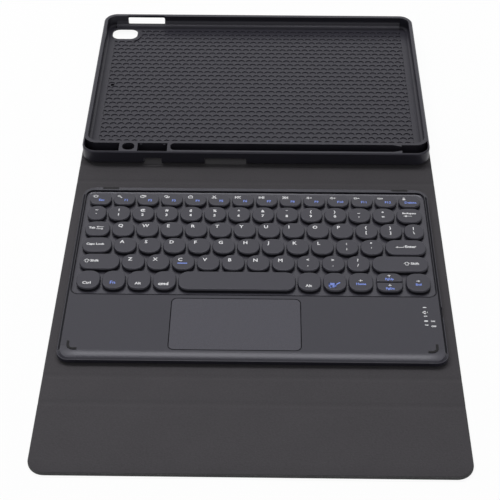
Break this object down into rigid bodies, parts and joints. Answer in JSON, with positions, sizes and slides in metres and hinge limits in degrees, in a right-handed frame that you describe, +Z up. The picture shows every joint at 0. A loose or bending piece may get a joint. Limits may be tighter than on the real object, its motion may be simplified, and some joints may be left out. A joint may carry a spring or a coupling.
{
  "type": "tablet keyboard case",
  "caption": "Folding tablet keyboard case: soft folio cover with a moulded tablet tray, a stylus channel and a lift-off wireless keyboard with keys and a click touchpad.",
  "frame": {"origin": "middle of the underside of the open, flat case", "axes": "+Y from the closing flap to the tablet tray, +Z up out of the lining, +X to the right of a person typing"},
  "size_m": [0.2574, 0.4782, 0.0139],
  "materials": {
    "skin": "fine grained, matte",
    "lining": "brushed, matte",
    "board": "plain",
    "magnet": "plated",
    "tray": "matte",
    "bond": "clear film",
    "case": "fine texture",
    "keycap": "fine texture",
    "touchpad": "smooth matte",
    "steel": "pressed sheet",
    "film": "printed film",
    "dome": "moulded",
    "circuit": "solder mask",
    "cell": "foil pouch",
    "bumper": "matte",
    "light": "diffuse"
  },
  "bodies": {
    "bed": {"bed_skin": "skin", "bed_board": "board", "bed_lining": "lining", "bed_magnets": "magnet"},
    "spine": {"spine_skin": "skin", "spine_board": "board", "spine_lining": "lining"},
    "back": {"back_skin": "skin", "back_board": "board", "back_lining": "lining", "back_keepers": "steel", "tray": "tray", "tray_bond": "bond"},
    "strip": {"strip_skin": "skin", "strip_lining": "lining"},
    "flap": {"flap_skin": "skin", "flap_board": "board", "flap_lining": "lining", "flap_magnets": "magnet"},
    "keyboard": {"top_case": "case", "bottom_case": "case", "key_plate": "steel", "membrane": "film", "key_domes": "dome", "touchpad_switches": "steel", "main_board": "circuit", "battery": "cell", "charging_socket": "steel", "indicator_windows": "light", "corner_bumpers": "bumper", "rear_pads": "bumper", "keyboard_magnets": "magnet"},
    "touchpad": {"touchpad_plate": "touchpad", "touchpad_board": "circuit"},
    "power_slider": {"power_slider": "case"},
    "function_keys": {"function_keys": "keycap"},
    "number_keys": {"number_keys": "keycap"},
    "upper_letter_keys": {"upper_letter_keys": "keycap"},
    "home_letter_keys": {"home_letter_keys": "keycap"},
    "lower_letter_keys": {"lower_letter_keys": "keycap"},
    "grave_key": {"grave_key": "keycap"},
    "backspace_key": {"backspace_key": "keycap"},
    "tab_key": {"tab_key": "keycap"},
    "backslash_key": {"backslash_key": "keycap"},
    "caps_lock_key": {"caps_lock_key": "keycap"},
    "enter_key": {"enter_key": "keycap"},
    "left_shift_key": {"left_shift_key": "keycap"},
    "right_shift_key": {"right_shift_key": "keycap"},
    "control_key": {"control_key": "keycap"},
    "fn_key": {"fn_key": "keycap"},
    "left_alt_key": {"left_alt_key": "keycap"},
    "system_key": {"system_key": "keycap"},
    "space_bar": {"space_bar": "keycap"},
    "right_alt_key": {"right_alt_key": "keycap"},
    "touchpad_lock_key": {"touchpad_lock_key": "keycap"},
    "left_arrow_key": {"left_arrow_key": "keycap"},
    "up_arrow_key": {"up_arrow_key": "keycap"},
    "down_arrow_key": {"down_arrow_key": "keycap"},
    "right_arrow_key": {"right_arrow_key": "keycap"}
  },
  "joints": [
    {"name": "rear_fold", "type": "hinge", "parent": "bed", "child": "spine", "pos_m": [0, 0.02855, 0.0024], "axis": [1, 0, 0], "range_deg": [0, 90]},
    {"name": "back_fold", "type": "hinge", "parent": "spine", "child": "back", "pos_m": [0, 0.04795, 0.0024], "axis": [1, 0, 0], "range_deg": [0, 90]},
    {"name": "front_fold", "type": "hinge", "parent": "bed", "child": "strip", "pos_m": [0, -0.16295, 0.0024], "axis": [-1, 0, 0], "range_deg": [0, 90]},
    {"name": "flap_fold", "type": "hinge", "parent": "strip", "child": "flap", "pos_m": [0, -0.18515, 0.0024], "axis": [-1, 0, 0], "range_deg": [0, 90]},
    {"name": "keyboard_lift", "type": "slide", "parent": "bed", "child": "keyboard", "axis": [0, 0, -1], "range_m": [-0.04, 0]},
    {"name": "touchpad_click", "type": "hinge", "parent": "keyboard", "child": "touchpad", "pos_m": [0, -0.10375, 0.0066], "axis": [1, 0, 0], "range_deg": [0, 0.6], "stiffness_Nm_per_rad": 8},
    {"name": "power_slide", "type": "slide", "parent": "keyboard", "child": "power_slider", "axis": [0, 1, 0], "range_m": [0, 0.002]},
    {"name": "function_keys_press", "type": "slide", "parent": "keyboard", "child": "function_keys", "axis": [0, 0, -1], "range_m": [0, 0.0016], "stiffness_N_per_m": 4760, "deforming": ["key_domes"]},
    {"name": "number_keys_press", "type": "slide", "parent": "keyboard", "child": "number_keys", "axis": [0, 0, -1], "range_m": [0, 0.0016], "stiffness_N_per_m": 4080, "deforming": ["key_domes"]},
    {"name": "upper_letter_keys_press", "type": "slide", "parent": "keyboard", "child": "upper_letter_keys", "axis": [0, 0, -1], "range_m": [0, 0.0016], "stiffness_N_per_m": 4080, "deforming": ["key_domes"]},
    {"name": "home_letter_keys_press", "type": "slide", "parent": "keyboard", "child": "home_letter_keys", "axis": [0, 0, -1], "range_m": [0, 0.0016], "stiffness_N_per_m": 3740, "deforming": ["key_domes"]},
    {"name": "lower_letter_keys_press", "type": "slide", "parent": "keyboard", "child": "lower_letter_keys", "axis": [0, 0, -1], "range_m": [0, 0.0016], "stiffness_N_per_m": 3400, "deforming": ["key_domes"]},
    {"name": "grave_key_press", "type": "slide", "parent": "keyboard", "child": "grave_key", "axis": [0, 0, -1], "range_m": [0, 0.0016], "stiffness_N_per_m": 340, "deforming": ["key_domes"]},
    {"name": "backspace_key_press", "type": "slide", "parent": "keyboard", "child": "backspace_key", "axis": [0, 0, -1], "range_m": [0, 0.0016], "stiffness_N_per_m": 340, "deforming": ["key_domes"]},
    {"name": "tab_key_press", "type": "slide", "parent": "keyboard", "child": "tab_key", "axis": [0, 0, -1], "range_m": [0, 0.0016], "stiffness_N_per_m": 340, "deforming": ["key_domes"]},
    {"name": "backslash_key_press", "type": "slide", "parent": "keyboard", "child": "backslash_key", "axis": [0, 0, -1], "range_m": [0, 0.0016], "stiffness_N_per_m": 340, "deforming": ["key_domes"]},
    {"name": "caps_lock_key_press", "type": "slide", "parent": "keyboard", "child": "caps_lock_key", "axis": [0, 0, -1], "range_m": [0, 0.0016], "stiffness_N_per_m": 340, "deforming": ["key_domes"]},
    {"name": "enter_key_press", "type": "slide", "parent": "keyboard", "child": "enter_key", "axis": [0, 0, -1], "range_m": [0, 0.0016], "stiffness_N_per_m": 340, "deforming": ["key_domes"]},
    {"name": "left_shift_key_press", "type": "slide", "parent": "keyboard", "child": "left_shift_key", "axis": [0, 0, -1], "range_m": [0, 0.0016], "stiffness_N_per_m": 340, "deforming": ["key_domes"]},
    {"name": "right_shift_key_press", "type": "slide", "parent": "keyboard", "child": "right_shift_key", "axis": [0, 0, -1], "range_m": [0, 0.0016], "stiffness_N_per_m": 340, "deforming": ["key_domes"]},
    {"name": "control_key_press", "type": "slide", "parent": "keyboard", "child": "control_key", "axis": [0, 0, -1], "range_m": [0, 0.0016], "stiffness_N_per_m": 340, "deforming": ["key_domes"]},
    {"name": "fn_key_press", "type": "slide", "parent": "keyboard", "child": "fn_key", "axis": [0, 0, -1], "range_m": [0, 0.0016], "stiffness_N_per_m": 340, "deforming": ["key_domes"]},
    {"name": "left_alt_key_press", "type": "slide", "parent": "keyboard", "child": "left_alt_key", "axis": [0, 0, -1], "range_m": [0, 0.0016], "stiffness_N_per_m": 340, "deforming": ["key_domes"]},
    {"name": "system_key_press", "type": "slide", "parent": "keyboard", "child": "system_key", "axis": [0, 0, -1], "range_m": [0, 0.0016], "stiffness_N_per_m": 340, "deforming": ["key_domes"]},
    {"name": "space_bar_press", "type": "slide", "parent": "keyboard", "child": "space_bar", "axis": [0, 0, -1], "range_m": [0, 0.0016], "stiffness_N_per_m": 340, "deforming": ["key_domes"]},
    {"name": "right_alt_key_press", "type": "slide", "parent": "keyboard", "child": "right_alt_key", "axis": [0, 0, -1], "range_m": [0, 0.0016], "stiffness_N_per_m": 340, "deforming": ["key_domes"]},
    {"name": "touchpad_lock_key_press", "type": "slide", "parent": "keyboard", "child": "touchpad_lock_key", "axis": [0, 0, -1], "range_m": [0, 0.0016], "stiffness_N_per_m": 340, "deforming": ["key_domes"]},
    {"name": "left_arrow_key_press", "type": "slide", "parent": "keyboard", "child": "left_arrow_key", "axis": [0, 0, -1], "range_m": [0, 0.0016], "stiffness_N_per_m": 340, "deforming": ["key_domes"]},
    {"name": "up_arrow_key_press", "type": "slide", "parent": "keyboard", "child": "up_arrow_key", "axis": [0, 0, -1], "range_m": [0, 0.0016], "stiffness_N_per_m": 340, "deforming": ["key_domes"]},
    {"name": "down_arrow_key_press", "type": "slide", "parent": "keyboard", "child": "down_arrow_key", "axis": [0, 0, -1], "range_m": [0, 0.0016], "stiffness_N_per_m": 340, "deforming": ["key_domes"]},
    {"name": "right_arrow_key_press", "type": "slide", "parent": "keyboard", "child": "right_arrow_key", "axis": [0, 0, -1], "range_m": [0, 0.0016], "stiffness_N_per_m": 340, "deforming": ["key_domes"]}
  ]
}
